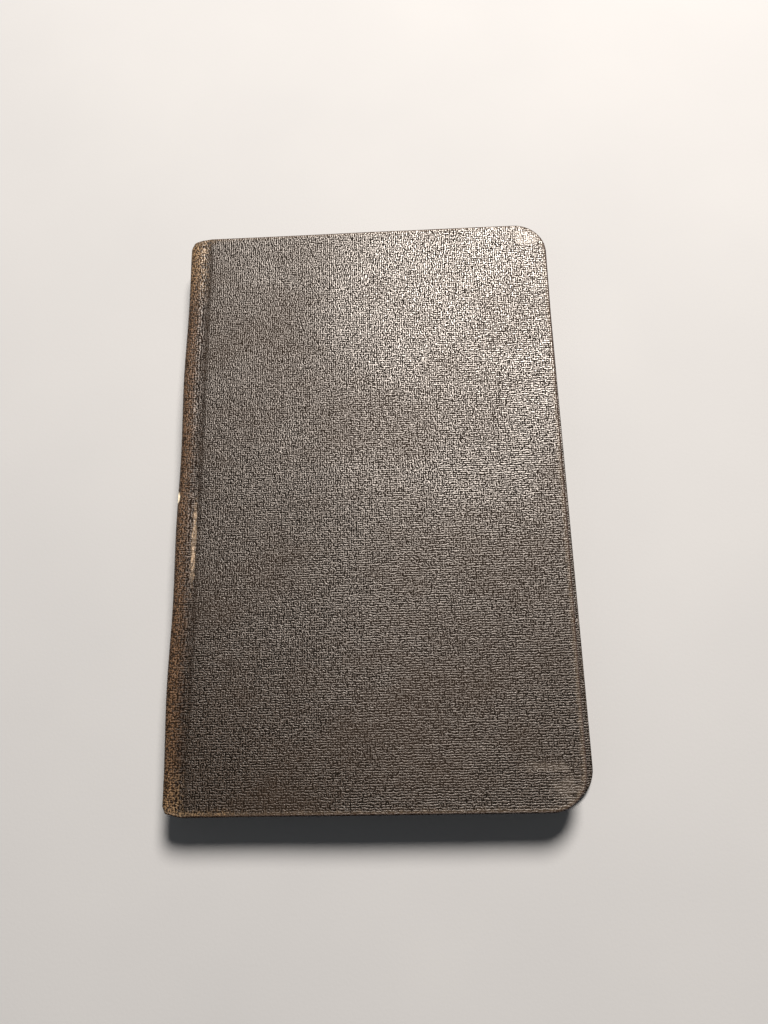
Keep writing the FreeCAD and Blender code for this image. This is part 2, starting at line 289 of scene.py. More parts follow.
def sheet_faces(rows, columns, start=0, flipped=False):
    """Quads of a grid of vertices."""
    faces = []
    for row in range(rows - 1):
        for column in range(columns - 1):
            corner = start + row * columns + column
            quad = (corner, corner + 1, corner + columns + 1, corner + columns)
            faces.append(quad[::-1] if flipped else quad)
    return faces


def thick_sheet(grid, thickness):
    """A closed sheet of that thickness round a grid of points: its vertices and faces."""
    along = np.gradient(grid, axis=0)
    across = np.gradient(grid, axis=1)
    normals = np.cross(across, along)
    normals /= np.linalg.norm(normals, axis=-1, keepdims=True)
    rows, columns = grid.shape[:2]
    upper = (grid + normals * thickness / 2).reshape(-1, 3)
    lower = (grid - normals * thickness / 2).reshape(-1, 3)
    faces = sheet_faces(rows, columns)
    faces += sheet_faces(rows, columns, rows * columns, flipped=True)
    rim = [(0, c) for c in range(columns)] + [(r, columns - 1) for r in range(1, rows)]
    rim += [(rows - 1, c) for c in range(columns - 2, -1, -1)]
    rim += [(r, 0) for r in range(rows - 2, 0, -1)]
    rim = [r * columns + c for r, c in rim]
    below = rows * columns
    for here, there in zip(rim, rim[1:] + rim[:1]):
        faces.append((here, here + below, there + below, there))
    return np.concatenate([upper, lower]), faces


def make_object(name, vertices, faces, crease=math.radians(35)):
    """A smooth mesh object, sharp where its faces meet at more than that angle."""
    mesh = bpy.data.meshes.new(name)
    mesh.from_pydata([tuple(v) for v in vertices], [], faces)
    mesh.validate()
    mesh.shade_smooth()
    mesh.set_sharp_from_angle(angle=crease)
    made = bpy.data.objects.new(name, mesh)
    bpy.context.scene.collection.objects.link(made)
    return made


def store(piece, name, values):
    """Keep a value, or a vector, for each vertex."""
    values = np.asarray(values, np.float32)
    kind, key = ("FLOAT_VECTOR", "vector") if values.ndim > 1 else ("FLOAT", "value")
    attribute = piece.data.attributes.new(name, kind, "POINT")
    attribute.data.foreach_set(key, values.ravel())


def bake(piece):
    """Make a piece's modifiers part of its mesh."""
    depsgraph = bpy.context.evaluated_depsgraph_get()
    mesh = bpy.data.meshes.new_from_object(
        piece.evaluated_get(depsgraph), preserve_all_data_layers=True, depsgraph=depsgraph)
    piece.modifiers.clear()
    piece.data = mesh


def rounded_rows(half, radius, middle_rows, corner_rows):
    """Rows of a sheet with two rounded corners: each row's y, its turn round the corner and
    how far it stops short of the full width."""
    turn = np.linspace(0, math.pi / 2, corner_rows + 1)[1:]
    straight = half - radius
    head = straight + radius * np.sin(turn)
    y = np.concatenate([-head[::-1], np.linspace(-straight, straight, middle_rows), head])
    turns = np.concatenate([-turn[::-1], np.zeros(middle_rows), turn])
    return y, turns, radius * (1 - np.cos(turns))


# ---------------------------------------------------------------- the cloth case


def case_profile():
    """Across the outside of the case, from the middle of the spine to the flat of the board."""
    shoulder = np.array([SPINE_X + RIDGE_RADIUS, RIDGE_DROP + RIDGE_RADIUS])
    rise = np.linspace(MIDDLE - HALF_GAP, shoulder[1], SPINE_COLUMNS)[:-1]
    up = np.stack([np.full_like(rise, SPINE_X), rise], axis=-1)
    turn = np.linspace(0, math.pi / 2, RIDGE_COLUMNS)
    over = shoulder - RIDGE_RADIUS * np.stack([np.cos(turn), np.sin(turn)], axis=-1)
    x = np.linspace(shoulder[0], JOINT_END_X, JOINT_COLUMNS)[1:]
    drop = smooth(x, JOINT_START_X, JOINT_FLOOR_X)
    climb = smooth(x, HINGE_X, JOINT_END_X)
    depth = RIDGE_DROP + (JOINT_DEPTH - RIDGE_DROP) * drop - JOINT_DEPTH * climb
    profile = np.concatenate([up, over, np.stack([x, depth], axis=-1)])
    tangent = np.gradient(profile, axis=0)
    tangent /= np.linalg.norm(tangent, axis=-1, keepdims=True)
    inward = np.stack([-tangent[:, 1], 0 * tangent[:, 0], tangent[:, 0]], axis=-1)
    return profile, inward


def roll_under(radius, depth):
    """The cloth's way over an edge and back under it: steps out of the outline, and down."""
    under = np.minimum(INNER_ROLL, 0.85 * (depth - radius))
    steps = []
    for angle in np.linspace(0, math.pi / 2, 7)[1:]:
        steps.append((radius * math.sin(angle), radius * (1 - math.cos(angle))))
    for share in (0.5, 1):
        steps.append((radius, radius + share * (depth - radius - under)))
    for angle in np.linspace(0, math.pi / 2, 5)[1:]:
        steps.append((radius - under * (1 - math.cos(angle)),
                      depth - under * (1 - math.sin(angle))))
    for share in (0.12, 0.3, 0.6, 1):
        steps.append((radius - under - share * HIDDEN_TURN_IN, depth))
    return steps


def case_points():
    """The outside of half the case as (x, y, depth) points, its faces, and its edge mask for wear
    and painted shade.
    """
    profile, inward = case_profile()
    y, turns, short = rounded_rows(HALF_HEIGHT - EDGE_ROLL, COVER_CORNER - EDGE_ROLL,
                                   COVER_ROWS, CORNER_ROWS)
    share = np.linspace(0, 1, FLAT_COLUMNS + 1)[1:]
    width = FORE_X - EDGE_ROLL - short - JOINT_END_X
    board_x = JOINT_END_X + width[:, None] * share
    rows = len(y)
    x = np.concatenate([np.tile(profile[:, 0], (rows, 1)), board_x], axis=1)
    depth = np.concatenate([profile[:, 1], np.zeros(FLAT_COLUMNS)])
    inward = np.concatenate([inward, np.tile([0, 0, 1], (FLAT_COLUMNS, 1))])
    on_board = smooth(x[0], HINGE_X + 0.4 * MM, JOINT_END_X)
    radius = FOLD_ROLL + (EDGE_ROLL - FOLD_ROLL) * on_board
    thick = FOLD_DEPTH + (CASE_DEPTH - FOLD_DEPTH) * on_board
    reach = (HALF_HEIGHT - radius) / (HALF_HEIGHT - EDGE_ROLL)
    grid = np.stack([x, y[:, None] * reach, np.tile(depth, (rows, 1))], axis=-1)
    columns = grid.shape[1]
    last = columns - 1
    loop = [(0, c) for c in range(columns)] + [(r, last) for r in range(1, rows)]
    loop += [(rows - 1, c) for c in range(last - 1, -1, -1)]
    at_row, at_column = np.array(loop).T
    on_side = at_column == last
    outward = np.stack([np.where(on_side, np.cos(turns[at_row]), 0),
                        np.where(on_side, np.sin(turns[at_row]), np.sign(y[at_row])),
                        np.zeros(len(loop))], axis=-1)
    start = grid[at_row, at_column]
    points = [grid.reshape(-1, 3)]
    edge_wear_and_shade = [np.exp(-inside_outline(grid[..., 0], grid[..., 1]).ravel() / EDGE_WEAR_AND_SHADE_WIDTH)]
    faces = sheet_faces(rows, columns)
    ring = at_row * columns + at_column
    first_free = rows * columns
    for out, down in roll_under(radius[at_column], thick[at_column]):
        points.append(start + outward * out[:, None] + inward[at_column] * down[:, None])
        edge_wear_and_shade.append(1 - 0.7 * np.clip(down / CASE_DEPTH, 0, 1))
        fresh = first_free + np.arange(len(loop))
        for here in range(len(loop) - 1):
            faces.append((ring[here], fresh[here], fresh[here + 1], ring[here + 1]))
        ring, first_free = fresh, first_free + len(loop)
    return np.concatenate(points), faces, np.concatenate(edge_wear_and_shade)


def fading(points):
    """How far the black has faded to brown: along the spine, and round its two corners."""
    x, y = points[:, 0], points[:, 1]
    along_spine = 1 - 0.5 * smooth(x, HINGE_X - 1.3 * MM, HINGE_X - 0.3 * MM)
    along_spine -= 0.5 * smooth(x, HINGE_X, HINGE_X + 1.6 * MM)
    from_end = HALF_HEIGHT - np.abs(y)
    at_end = 1 - smooth(from_end, 0.2 * MM, 3.2 * MM)
    reach = SPINE_X + np.where(y < 0, TAIL_FADE, HEAD_FADE)
    along_edge = at_end * (1 - smooth(x, reach - 12 * MM, reach))
    return np.maximum(along_spine, 0.85 * along_edge)


def case_cloth(side, material):
    """Cloth over one cover and half the spine, in one piece across the joint."""
    points, faces, edge_wear_and_shade = case_points()
    if side == BACK:
        faces = [face[::-1] for face in faces]
    cloth = make_object(f"{side}_case_cloth", to_frame(side, settle(side, points)), faces)
    store(cloth, "rest", to_frame(side, points) / MM)
    store(cloth, "edge_wear_and_shade", edge_wear_and_shade)
    store(cloth, "faded", fading(points))
    shell = cloth.modifiers.new("Thickness", "SOLIDIFY")
    shell.thickness = CLOTH
    shell.offset = -1
    bake(cloth)
    cloth.data.materials.append(material)
    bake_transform(cloth)
    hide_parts(f"{side}_cover_cloth", f"{side}_spine_cloth")


# ---------------------------------------------------------------- boards and endpapers


def flat_grid(x_low, x_high, half, radius, columns, rows=(60, 9)):
    """A flat sheet with two rounded corners as a grid of (x, y, 0) points."""
    y, _, short = rounded_rows(half, radius, *rows)
    share = np.linspace(0, 1, columns)
    x = x_low + (x_high - x_low - short)[:, None] * share
    return np.stack([x, np.tile(y[:, None], columns), 0 * x], axis=-1)


def edge_of(points, half, x_high):
    """1 at a sheet's three trimmed edges and 0 well inside."""
    gap = np.minimum(half - np.abs(points[..., 1]), x_high - points[..., 0])
    return np.exp(-np.maximum(gap, 0) / EDGE_BROWNING).ravel()


def sheet_object(name, side, grid, laid, thickness, material, edge):
    """A thick sheet with its flat grid kept as the rest place of its texture."""
    vertices, faces = thick_sheet(to_frame(side, laid), thickness)
    made = make_object(name, vertices, faces)
    store(made, "rest", np.tile(to_frame(side, grid).reshape(-1, 3) / MM, (2, 1)))
    store(made, "edge", np.tile(edge, 2))
    made.data.materials.append(material)
    return made


def board(side, material):
    """The cover board inside the cloth."""
    low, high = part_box("front_board")
    depth = THICKNESS - (low.z + high.z) / 2
    grid = flat_grid(low.x, high.x, high.y, COVER_CORNER - BOARD_INSET, 40)
    grid[..., 2] = depth
    edge = edge_of(grid, high.y, high.x)
    made = sheet_object(f"{side}_cover_board", side, grid, settle(side, grid), high.z - low.z,
                        material, edge)
    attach(made, f"{side}_cover")
    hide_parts(f"{side}_board")


def pastedown(side, material):
    """The endpaper glued inside a cover: it dips between the turned-in cloth."""
    low, high = PASTEDOWN_LOW, PASTEDOWN_HIGH
    grid = flat_grid(low.x, high.x, high.y, LEAF_CORNER, 90, (110, 9))
    x, y = grid[..., 0], grid[..., 1]
    inset = waves(x, y, 40 * MM, 11) * TURN_IN_WANDER
    window_y = HALF_HEIGHT - TURN_IN + inset
    window_x = FORE_X - TURN_IN + inset
    sunk = 1 - smooth(np.abs(y), window_y - TURN_IN_BLUR, window_y + TURN_IN_BLUR)
    sunk = sunk * (1 - smooth(x, window_x - TURN_IN_BLUR, window_x + TURN_IN_BLUR))
    grid[..., 2] = PASTEDOWN_DEPTH - PAPER / 2 - TURN_IN_STEP * sunk
    grid[..., 2] += PASTE_RIPPLE * waves(x, y, 9 * MM, 12)
    edge = edge_of(grid, high.y, high.x)
    laid = settle(side, grid, gives=(low.x, low.x + 14 * MM))
    made = sheet_object(f"{side}_pasted_endpaper", side, grid, laid, PAPER, material, edge)
    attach(made, f"{side}_cover")
    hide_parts(f"{side}_pastedown")


def free_endpaper(side, material):
    """The flyleaf, with the strip by its fold that is stuck to the first section."""
    grid = flat_grid(STRIP_X, FLYLEAF_HIGH.x, FLYLEAF_HIGH.y, LEAF_CORNER, 110, (70, 9))
    x, y = grid[..., 0], grid[..., 1]
    grid[..., 2] = FLYLEAF_DEPTH
    laid = grid.copy()
    bow = FLYLEAF_BOW * (1 + waves(x, y, 38 * MM, 21))
    laid[..., 2] -= bow * smooth(x, FLYLEAF_LOW.x, FLYLEAF_LOW.x + 15 * MM)
    edge = edge_of(grid, FLYLEAF_HIGH.y, FLYLEAF_HIGH.x)
    made = sheet_object(f"{side}_free_endpaper", side, grid, laid, PAPER, material, edge)
    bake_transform(made)
    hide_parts(f"{side}_flyleaf")


def curve_through(points, steps):
    """A smooth line through a few (x, depth) points, as evenly spaced steps."""
    points = np.array(points, float)
    ends = np.concatenate([2 * points[:1] - points[1:2], points, 2 * points[-1:] - points[-2:-1]])
    line = []
    for before, here, there, after in zip(ends, ends[1:], ends[2:], ends[3:]):
        for t in np.linspace(0, 1, 8, endpoint=False):
            line.append(0.5 * (2 * here + (there - before) * t
                               + (2 * before - 5 * here + 4 * there - after) * t * t
                               + (3 * here - before - 3 * there + after) * t ** 3))
    line = np.array(line + [points[-1]])
    walked = np.concatenate([[0], np.cumsum(np.linalg.norm(np.diff(line, axis=0), axis=1))])
    stops = np.linspace(0, walked[-1], steps)
    return np.stack([np.interp(stops, walked, line[:, k]) for k in range(2)], axis=-1)


def endpaper_joint(side, material):
    """The fold of the endpaper, from the board's edge down to the first section. Its line is
    how far back from the board's edge it bulges, at each depth."""
    edge_x = PASTEDOWN_LOW.x - 0.05 * MM
    depths = np.array([1.15, 1.1, 1.14, 1.34, 1.6, 1.8, 1.93]) * MM
    back = np.array([0, 0.45, 1.0, 1.33, 1.3, 1.05, 0.6]) * MM
    line = curve_through(np.stack([edge_x - back, depths], axis=-1), 30)[::-1]
    half = PASTEDOWN_HIGH.y - JOINT_PAPER_SHORT
    y = np.linspace(-half, half, 90)
    laid = np.zeros((len(y), len(line), 3))
    laid[..., 0], laid[..., 1], laid[..., 2] = line[:, 0], y[:, None], line[:, 1]
    edge = np.zeros(laid.shape[:2]).ravel()
    made = sheet_object(f"{side}_endpaper_joint", side, laid, laid, PAPER, material, edge)
    low, high = to_frame(side, [[0, 0, 1.88 * MM], [0, 0, 1.17 * MM]])
    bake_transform(made)
    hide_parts(f"{side}_endpaper_fold")


# ---------------------------------------------------------------- the book block


def section_body(number):
    """The body that a section moves with."""
    return next(name for name, nodes in frame["record"]["behaviour"]["bodies"].items()
                if f"section_{number:02d}" in nodes)


def section_heights(number):
    """A section's middle and half thickness at its fold, then over its flat leaves."""
    from_back = SECTIONS - number
    fold_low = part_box(f"section_{SECTIONS:02d}")[0].z
    fold_pitch = (FIRST_SECTION_HIGH.z - fold_low + FOLD_GAP) / SECTIONS
    fold_middle = fold_low + fold_pitch * (from_back + 0.5) - FOLD_GAP / 2
    leaf_low = FLYLEAF_DEPTH + FLYLEAF_ROOM
    leaf_pitch = (THICKNESS - 2 * leaf_low + FOLD_GAP) / SECTIONS
    leaf_middle = leaf_low + leaf_pitch * (from_back + 0.5) - FOLD_GAP / 2
    return (fold_middle, (fold_pitch - FOLD_GAP) / 2), (leaf_middle, (leaf_pitch - FOLD_GAP) / 2)


def folded_sheet(number, nest, pick):
    """One sheet of a section, folded round those inside it, as a grid of points."""
    (fold_middle, fold_half), (leaf_middle, leaf_half) = section_heights(number)
    if number in MIDDLE_SECTIONS:
        leaf_half -= MIDDLE_ROOM / 2
        fold_half -= MIDDLE_ROOM / 2
        away = MIDDLE_ROOM / 2 if number == min(MIDDLE_SECTIONS) else -MIDDLE_ROOM / 2
        leaf_middle += away
        fold_middle += away
    y, _, short = rounded_rows(LEAF_HALF - 0.1 * MM, LEAF_CORNER, 16, 7)
    fold_x = FOLD_X + (nest + 0.5) * NEST_STEP_X
    halves = []
    for above in (-1, 1):
        reach = LEAF_FORE_X - 0.15 * MM - short + pick.gauss(0, UNEVEN_FORE_EDGE) * MM
        x = fold_x + FOLD_BULGE + (reach - fold_x - FOLD_BULGE)[:, None] * LEAF_STEPS
        flat = smooth(x, SWELL_START_X, STRIP_X)
        leaf_step = 2 * leaf_half / LEAVES_IN_SECTION
        fold_height = fold_half - (nest + 0.5) * NEST_STEP_Z
        leaf_height = (LEAVES_IN_SECTION / 2 - nest - 0.5) * leaf_step
        height = fold_height + (leaf_height - fold_height) * flat
        middle = fold_middle + (leaf_middle - fold_middle) * flat
        end = smooth(np.abs(y), LEAF_HALF - 12 * MM, LEAF_HALF - 5 * MM)[:, None]
        z = middle + above * height
        z = MIDDLE + (z - MIDDLE) * (1 - END_SQUEEZE * end * (1 - flat))
        row_y = y[:, None] * (1 + pick.gauss(0, UNEVEN_HEIGHT)) + 0 * x
        halves.append(np.stack([x, row_y, z], axis=-1))
    lower, upper = halves
    bends = []
    for angle in np.linspace(-math.pi / 2, math.pi / 2, 7)[1:-1]:
        middle = (lower[:, 0] + upper[:, 0]) / 2
        reach = (upper[:, 0] - lower[:, 0]) / 2
        bend = middle + reach * math.sin(angle)
        bend[:, 0] -= FOLD_BULGE * math.cos(angle)
        bends.append(bend)
    return np.concatenate([lower[:, ::-1], np.stack(bends, axis=1), upper], axis=1)


def section(number, material):
    """A section of the book: four folded sheets, one inside the other."""
    pick = random.Random(100 + number)
    vertices, faces, edge = [], [], []
    for nest in range(LEAVES_IN_SECTION // 2):
        grid = folded_sheet(number, nest, pick)
        points, quads = thick_sheet(grid, LEAF)
        start = sum(len(v) for v in vertices)
        faces += [tuple(start + index for index in quad) for quad in quads]
        vertices.append(points)
        edge.append(np.tile(edge_of(grid, LEAF_HALF, LEAF_FORE_X), 2))
    vertices = np.concatenate(vertices)
    made = make_object(f"section_{number:02d}_leaves", vertices, faces)
    store(made, "rest", vertices / MM)
    store(made, "edge", np.concatenate(edge))
    made.data.materials.append(material)
    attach(made, section_body(number))
    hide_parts(f"section_{number:02d}")


def middle_sheet(material):
    """The skin of the two pages either side of the middle opening, joined in the gutter."""
    y, _, short = rounded_rows(LEAF_HALF - SKIN_INSET, LEAF_CORNER, 40, 9)
    share = np.concatenate([np.linspace(0, 0.06, 14), np.linspace(0.06, 1, 60)[1:]])
    x = GUTTER_X + (LEAF_FORE_X - SKIN_INSET - short - GUTTER_X)[:, None] * share
    shape = x.shape
    row_y = np.tile(y[:, None], shape[1])
    lower = np.stack([x, row_y, np.full(shape, MIDDLE - SKIN_LEVEL)], axis=-1)
    upper = np.stack([x, row_y, np.full(shape, MIDDLE + SKIN_LEVEL)], axis=-1)
    bends = []
    for height in np.linspace(-0.9, 0.9, 25):
        bend = lower[:, 0].copy()
        bend[:, 0] -= 0.05 * MM * math.sqrt(1 - height * height)
        bend[:, 2] = MIDDLE + SKIN_LEVEL * height
        bends.append(bend)
    grid = np.concatenate([lower[:, ::-1], np.stack(bends, axis=1), upper], axis=1)
    vertices, faces = thick_sheet(grid, SKIN)
    made = make_object("middle_pages", vertices, faces)
    store(made, "rest", vertices / MM)
    store(made, "edge", np.tile(edge_of(grid, LEAF_HALF, LEAF_FORE_X), 2))
    made.data.materials.append(material)
    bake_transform(made)


def wound_band(side, part, material):
    """Half of a head or tail band: a cord wound with thread."""
    low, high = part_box(f"{side}_{part}")
    centre = (low + high) / 2
    radius = (high.x - low.x) / 2
    around = 20
    length = high.z - low.z - 0.25 * MM
    start = low.z if side == FRONT else high.z
    towards = 1 if side == FRONT else -1
    rows = int(length / WINDING * 6)
    vertices = []
    for row in range(rows + 1):
        along = length * row / rows
        into_taper = max(0, along - length + BAND_TAPER)
        taper = math.sqrt(max(0.0, 1 - into_taper ** 2 / (1.1 * BAND_TAPER) ** 2))
        for step in range(around):
            angle = math.tau * step / around
            lobe = abs(math.sin(math.pi * along / WINDING + angle / 2))
            reach = radius * taper * (0.84 + 0.14 * lobe)
            vertices.append((centre.x + reach * math.cos(angle),
                             centre.y + reach * math.sin(angle), start + towards * along))
    faces = []
    for row in range(rows):
        for step in range(around):
            here, there = row * around + step, row * around + (step + 1) % around
            quad = (here, there, there + around, here + around)
            faces.append(quad if towards > 0 else quad[::-1])
    end = list(range(around))
    faces.append(tuple(end[::-1] if towards > 0 else end))
    end = [rows * around + step for step in range(around)]
    faces.append(tuple(end if towards > 0 else end[::-1]))
    made = make_object(f"{side}_wound_{part}", vertices, faces)
    store(made, "rest", np.array(vertices) / MM)
    made.data.materials.append(material)
    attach(made, "upper_block" if side == FRONT else "lower_block")
    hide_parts(f"{side}_{part}")


# ---------------------------------------------------------------- materials


class Shader:
    """A material's node tree, written as expressions."""

    def __init__(self, name):
        self.material = bpy.data.materials.new(name)
        self.material.use_nodes = True
        self.nodes = self.material.node_tree.nodes
        self.links = self.material.node_tree.links
        self.surface = self.nodes["Principled BSDF"]

    def fill(self, socket, value):
        """Join an input to another node's output, or give it a value or a colour."""
        if isinstance(value, bpy.types.NodeSocket):
            self.links.new(value, socket)
        elif socket.type == "RGBA" and len(value) == 3:
            socket.default_value = (*value, 1)
        else:
            socket.default_value = value

    def node(self, kind, inputs, output=0, **settings):
        """A new node with its inputs and settings: one of its outputs."""
        made = self.nodes.new(kind)
        for name, setting in settings.items():
            setattr(made, name, setting)
        for name, value in inputs.items():
            self.fill(made.inputs[name], value)
        return made.outputs[output]

    def finish(self, **inputs):
        """Set the surface's inputs; _ stands for a space in their names."""
        for name, value in inputs.items():
            self.fill(self.surface.inputs[name.replace("_", " ")], value)
        return self.material

    def math(self, operation, first, second=0.0):
        return self.node("ShaderNodeMath", {0: first, 1: second}, operation=operation)

    def times(self, first, second):
        return self.math("MULTIPLY", first, second)

    def plus(self, first, second):
        return self.math("ADD", first, second)

    def ramp(self, value, low, high, to_low=0.0, to_high=1.0):
        """An S from one value to another."""
        return self.node("ShaderNodeMapRange", {
            "Value": value, "From Min": low, "From Max": high, "To Min": to_low,
            "To Max": to_high}, interpolation_type="SMOOTHSTEP")

    def mix(self, share, first, second):
        """A colour between two others. The numbers are the node's own colour sockets."""
        return self.node("ShaderNodeMix", {0: share, 6: first, 7: second}, 2, data_type="RGBA")

    def blend(self, share, first, second):
        """A number between two others."""
        return self.node("ShaderNodeMix", {0: share, 2: first, 3: second}, 0)

    def stretch(self, place, scale):
        return self.node("ShaderNodeVectorMath", {0: place, 1: scale}, operation="MULTIPLY")

    def shift(self, place, offset):
        return self.node("ShaderNodeVectorMath", {0: place, 1: offset}, operation="ADD")

    def parts(self, place):
        """A place's x, y and z."""
        split = self.nodes.new("ShaderNodeSeparateXYZ")
        self.links.new(place, split.inputs[0])
        return split.outputs

    def kept(self, name, vector=False):
        """A value stored on the mesh."""
        return self.node("ShaderNodeAttribute", {}, "Vector" if vector else "Fac",
                         attribute_name=name)

    def cad_place(self):
        """A place on a CAD part, in millimetres."""
        where = self.node("ShaderNodeTexCoord", {}, "Object")
        return self.stretch(where, (1000, 1000, 1000))

    def grain(self, place, size, detail=2.0, roughness=0.5):
        """Noise whose lumps are about that many millimetres, or one size for each axis."""
        sizes = size if isinstance(size, tuple) else (size,) * 3
        scaled = self.stretch(place, tuple(1 / s for s in sizes))
        return self.node("ShaderNodeTexNoise", {
            "Vector": scaled, "Scale": 1.0, "Detail": detail, "Roughness": roughness})

    def colour_grain(self, place, size, detail=2.0):
        """A vector of noise, from about -0.5 to 0.5 each way."""
        scaled = self.stretch(place, (1 / size,) * 3)
        noise = self.node("ShaderNodeTexNoise", {"Vector": scaled, "Scale": 1.0,
                                                 "Detail": detail}, "Color")
        return self.shift(noise, (-0.5, -0.5, -0.5))

    def cells(self, place, size):
        """How far the nearest of some scattered points is, as a share of their spacing."""
        scaled = self.stretch(place, (1 / size,) * 3)
        return self.node("ShaderNodeTexVoronoi", {"Vector": scaled, "Scale": 1.0}, "Distance")

    def bump(self, height, distance):
        """The normal of a surface raised by height times distance, which is in metres."""
        return self.node("ShaderNodeBump", {"Height": height, "Distance": distance,
                                            "Strength": 1.0})

    def patch(self, place, x, y, wide, tall, raggedness):
        """A soft-edged uneven patch at a place on the cover, in millimetres."""
        across, along, _ = self.parts(place)
        ragged = self.times(self.plus(self.grain(place, 1.6, 3.0), -0.5), raggedness * 2)
        u = self.times(self.plus(across, -x), 1 / wide)
        v = self.times(self.plus(along, -y), 1 / tall)
        far = self.math("SQRT", self.plus(self.times(u, u), self.times(v, v)))
        return self.ramp(self.plus(far, ragged), 1.15, 0.55)


def cloth_ribs(s, place):
    """The cloth's grain, a maze of short ribs. More of them stand upright on the spine's side,
    and more lie level towards the fore edge and the tail."""
    across, along, _ = s.parts(place)
    wobble = s.colour_grain(place, 1.1, 3.0)
    bent = s.shift(place, s.stretch(wobble, (RIB_WOBBLE,) * 3))
    bent_across, bent_along, bent_up = s.parts(bent)
    turn = math.tau / RIB_PITCH
    upright = s.math("SINE", s.times(s.plus(bent_across, bent_up), turn))
    level = s.math("SINE", s.times(bent_along, turn))
    lean = s.plus(s.times(s.plus(across, s.times(along, -0.8)), RIB_LEAN),
                  s.times(s.plus(s.grain(place, 12.0, 2.0), -0.5), 0.25))
    choice = s.plus(s.grain(place, RIB_LENGTH, 1.0), lean)
    ribs = s.blend(s.ramp(choice, 0.44, 0.56), upright, level)
    uneven = s.times(s.plus(s.grain(place, 0.5, 2.0), -0.5), RIB_UNEVENNESS)
    return s.plus(ribs, uneven)


def cloth_edges(s, place):
    """The dark line at the very edge of a cover, worn cloth and painted shade, and the rubbed
    cloth just inside it.
    """
    edge_wear_and_shade = s.kept("edge_wear_and_shade")
    ragged = s.grain(place, 1.1, 3.0, 0.6)
    rim = s.ramp(s.plus(edge_wear_and_shade, s.times(ragged, 0.3)), 0.84, 1.06)
    rubbed = s.ramp(s.plus(edge_wear_and_shade, s.times(ragged, 0.9)), 0.75, 1.25)
    return rim, s.times(rubbed, s.math("SUBTRACT", 1.0, rim))


def front_wear(s, place):
    """What use has done to the front cover: where it is worn smooth, the nick in the ridge and
    the crease across the tail; and a painted highlight line along the ridge's inner slope."""
    across, along, up = s.parts(place)
    on_front = s.ramp(up, *FRONT_LEVELS)
    corner, scuff, second_scuff = (s.patch(place, *spot) for spot in (CORNER_RUB, *SCUFFS))
    smoothed = s.math("MAXIMUM", corner, s.times(s.math("MAXIMUM", scuff, second_scuff), 0.5))
    ridge_highlight = s.times(s.patch(place, *RIDGE_HIGHLIGHT_LINE), on_front)
    nick = s.times(s.patch(place, *NICK), on_front)
    off_crease = s.plus(s.plus(along, s.times(s.grain(place, 14.0), 3.0)), -CREASE_Y)
    crease = s.times(s.times(s.ramp(s.math("ABSOLUTE", off_crease), 0.8, 0.0), on_front),
                     s.times(s.ramp(across, -30.0, 10.0), s.ramp(across, 40.0, 28.0)))
    return s.times(smoothed, on_front), ridge_highlight, nick, crease


def faded_cloth(s, place, threads):
    """How far the cloth has faded, and its colour there: brown, palest on the outer side of
    the ridge and towards its ends."""
    across, along, _ = s.parts(place)
    uneven = s.plus(s.times(s.grain(place, (0.9, 2.2, 0.9), 3.0, 0.65), 0.9),
                    s.times(s.grain(place, 8.0, 2.0), 0.6))
    browned = s.ramp(s.plus(s.kept("faded"), s.plus(uneven, -0.75)), 0.15, 1.0)
    speck = s.times(s.ramp(s.grain(place, 0.5, 1.0), 0.42, 0.58), s.blend(threads, 0.2, 1.0))
    outermost = s.ramp(s.plus(across, s.times(s.grain(place, 2.0, 2.0), 1.6)), *RIDGE_OUTSIDE)
    ends = s.ramp(s.math("ABSOLUTE", s.plus(along, 5.0)), 60.0, 80.0)
    # Painted shade: the faded cloth is darkest in its hollows.
    brown = s.mix(speck, BROWN_HOLLOW_SHADE, BROWN_TOP)
    brown = s.mix(s.times(outermost, s.blend(speck, 0.08, 1.0)), brown, BROWN_OUTSIDE)
    return browned, s.mix(s.times(s.times(ends, speck), 0.6), brown, BROWN_ENDS)


